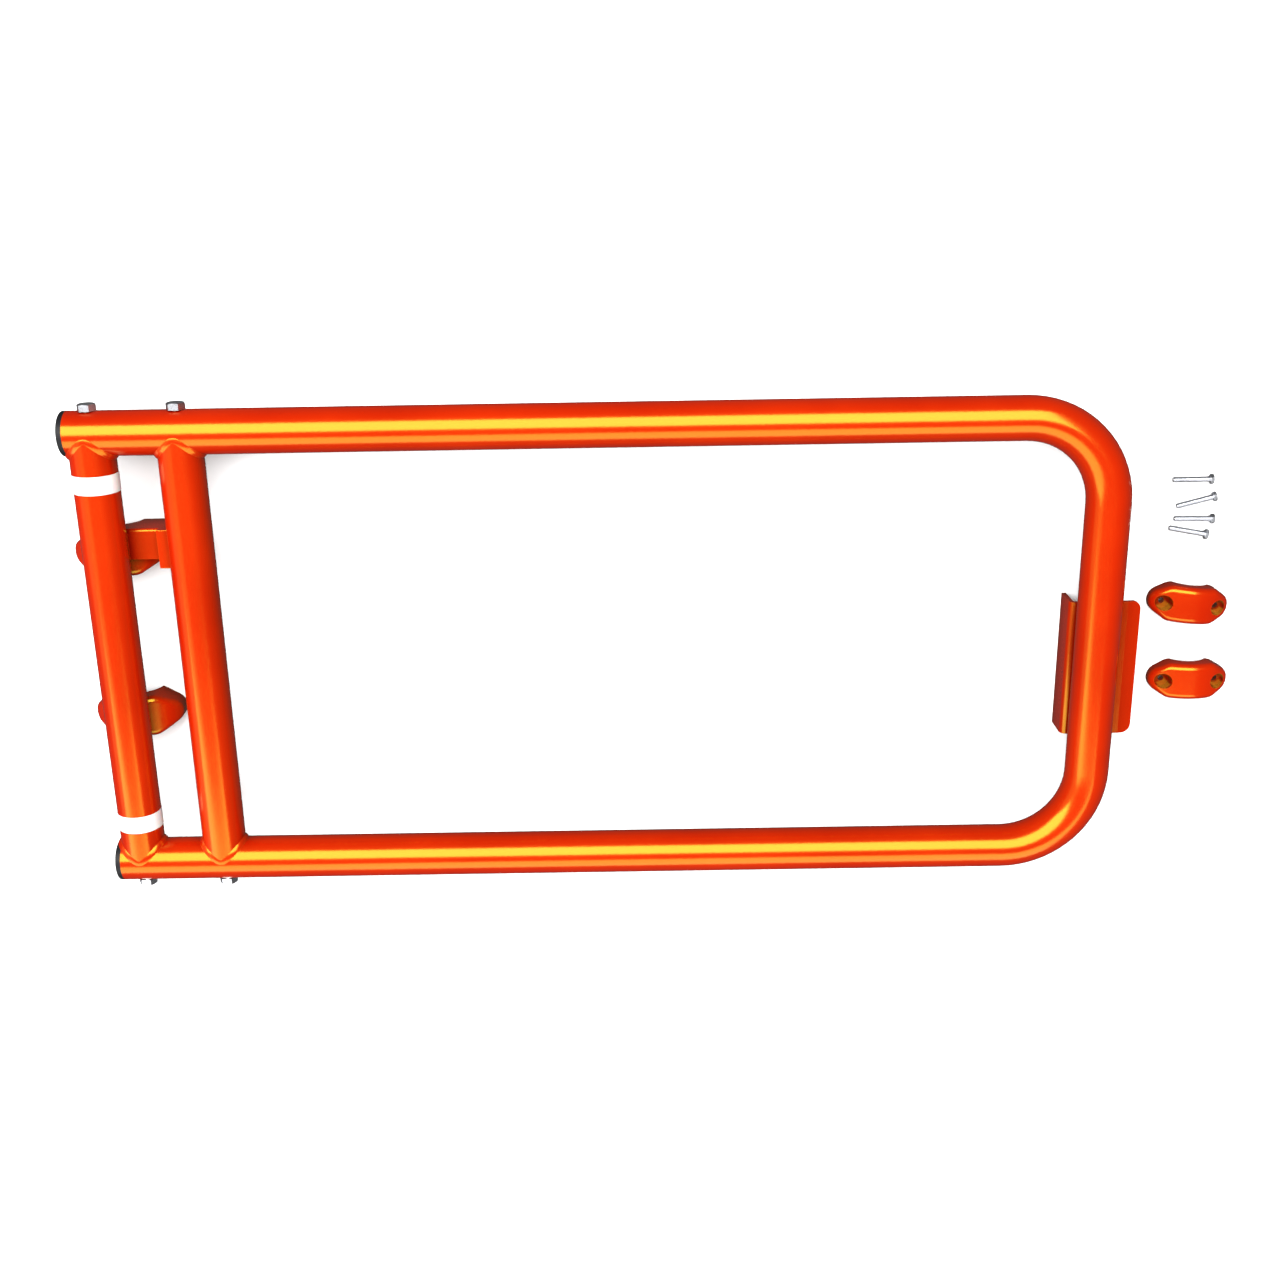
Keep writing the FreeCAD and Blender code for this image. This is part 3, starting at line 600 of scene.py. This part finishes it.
def make_bolts():
    """The four loose bolts, each on the floor on a flat of its head and the tip of its shank."""
    tilt = math.atan((BOLT_FLATS / 2 - BOLT_RADIUS) / BOLT_LENGTH)
    rest = Matrix.Rotation(math.pi / 2 - tilt, 4, "Y")
    for name, (across, up, heading) in BOLT_LIES.items():
        mesh = bmesh.new()
        hex_head(mesh, BOLT_FLATS, BOLT_HEAD)
        threaded_shank(mesh, BOLT_RADIUS * SHANK_UNDERSIZE, BOLT_PITCH, BOLT_LENGTH)
        turn = Matrix.Rotation(math.radians(heading), 4, "Z") @ rest
        lift = BOLT_RADIUS * math.cos(tilt)
        spot = Vector((across, up, lift)) + turn.to_3x3() @ Vector((0, 0, BOLT_LENGTH))
        bmesh.ops.transform(mesh, matrix=Matrix.Translation(spot) @ turn, verts=mesh.verts[:])
        piece = new_piece(f"{name}_threaded", mesh, name, "zinc_plate")
        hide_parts(name)


STOP_ROUND = 0.9 * MM
STRIKE_ROUND = 0.8 * MM

dress_cad_nodes()
for plate in ("stop_bracket", "stop_lug"):
    soften(plate, STOP_ROUND)
soften("strike_plate", STRIKE_ROUND)
make_welds()
make_bolts()


# ---- stage, light and camera ----

FLOOR_SIZE = 6.0
FLOOR_DROP = 0.2 * MM
SURROUND_STRENGTH = 0.10
LIGHT_DISTANCE = 4.2
LIGHT_SHIFT = -1.5


def make_floor():
    """Plain white floor just under the object, with painted shade where it is almost closed off."""
    mesh = bmesh.new()
    bmesh.ops.create_grid(mesh, x_segments=1, y_segments=1, size=FLOOR_SIZE)
    data = bpy.data.meshes.new("floor")
    mesh.to_mesh(data)
    mesh.free()
    floor = bpy.data.objects.new("floor", data)
    floor.location = (LATCH_X / 2, 0, -FLOOR_DROP)
    bpy.context.scene.collection.objects.link(floor)
    shader = Shader("white_floor")
    # Painted shade: near black where ambient occlusion finds the floor almost closed off, white elsewhere.
    colour = shader.blend(openness(shader, 25.0 * MM, 0.15, 0.4), (0.02, 0.02, 0.02), (0.96, 0.96, 0.96))
    shader.link(colour, shader.principled.inputs["Base Color"])
    shader.set(Roughness=0.9, Specular_IOR_Level=0.1)
    data.materials.append(shader.material)
    floor.visible_glossy = False
    floor.visible_diffuse = False


def softbox(name, towards, length, width, radiance, shift=0.0):
    """Rectangular light that shines on the leaf from the direction given; length is its side square to Y."""
    data = bpy.data.lights.new(name, "AREA")
    data.shape = "RECTANGLE"
    data.size, data.size_y = length, width
    data.energy = radiance * math.pi * length * width
    light = bpy.data.objects.new(name, data)
    back = Vector(towards).normalized()
    across = Vector((0, 1, 0)).cross(back).normalized()
    turn = Matrix((across, back.cross(across), back)).transposed()
    target = Vector((LATCH_X / 2 + shift, 0, AXIS_Z))
    light.matrix_world = Matrix.Translation(target + back * LIGHT_DISTANCE) @ turn.to_4x4()
    bpy.context.scene.collection.objects.link(light)


def make_light():
    """Two long overhead softboxes with a gap between them, a side one and a dim even surround."""
    softbox("softbox_front", (0, 0.446, 0.895), 8.0, 3.4, 8.6, shift=LIGHT_SHIFT)
    softbox("softbox_back", (0, -0.707, 0.707), 8.0, 2.75, 3.4, shift=LIGHT_SHIFT)
    softbox("softbox_left", (-0.848, -0.15, 0.53), 3.4, 4.4, 0.5)
    world = bpy.data.worlds.new("studio")
    world.use_nodes = True
    world.node_tree.nodes["Background"].inputs["Color"].default_value = (1, 1, 1, 1)
    world.node_tree.nodes["Background"].inputs["Strength"].default_value = SURROUND_STRENGTH
    bpy.context.scene.world = world


CAMERA_PLACE = Vector((0.5826, 0.5580, 1.6761))
CAMERA_PITCH = 18.80
CAMERA_ROLL = 0.99
CAMERA_YAW = 0.235
LENS = 43.51
SENSOR = 36.0


def make_camera():
    """Camera above the top rail's side, looking down on the leaf."""
    data = bpy.data.cameras.new("camera")
    data.lens = LENS
    data.sensor_width = SENSOR
    camera = bpy.data.objects.new("camera", data)
    yaw = Matrix.Rotation(math.radians(CAMERA_YAW), 3, "Y")
    pitch = Matrix.Rotation(math.radians(-CAMERA_PITCH), 3, "X")
    roll = Matrix.Rotation(math.radians(-CAMERA_ROLL), 3, "Z")
    camera.matrix_world = Matrix.Translation(CAMERA_PLACE) @ (yaw @ pitch @ roll).to_4x4()
    bpy.context.scene.collection.objects.link(camera)
    bpy.context.scene.camera = camera


make_floor()
make_light()
make_camera()
bpy.context.scene.view_settings.view_transform = "Standard"
bpy.context.scene.view_settings.look = "None"
